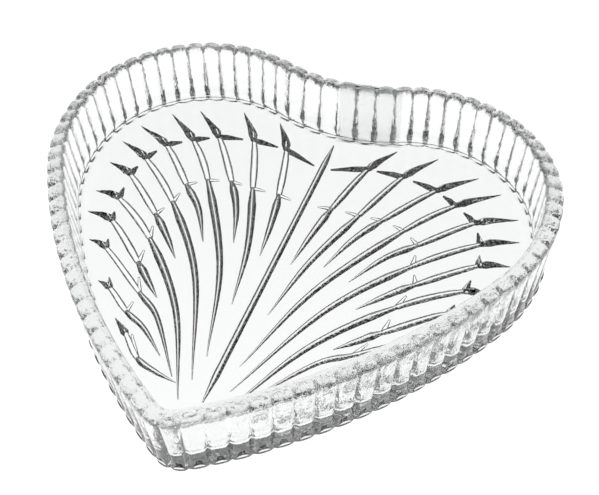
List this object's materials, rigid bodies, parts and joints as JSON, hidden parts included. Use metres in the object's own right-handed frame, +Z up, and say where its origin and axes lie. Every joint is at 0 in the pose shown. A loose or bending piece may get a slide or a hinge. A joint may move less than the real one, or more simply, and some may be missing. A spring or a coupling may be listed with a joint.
{
  "type": "heart-shaped glass dish",
  "caption": "Open heart-shaped clear pressed-glass trinket dish with upright fluted walls, a scalloped rim and a fan of mitre cuts under a flat floor.",
  "frame": {"origin": "centre of the dish's footprint, on the plane that its underside rests on", "axes": "+X across the two lobes, +Y from the heart's point to its cleft, +Z up out of the open mouth"},
  "size_m": [0.1652, 0.1511, 0.0267],
  "materials": {
    "crystal_glass": "clear fire-polished pressed crystal glass"
  },
  "bodies": {
    "root": {"dish": "crystal_glass"}
  },
  "joints": []
}
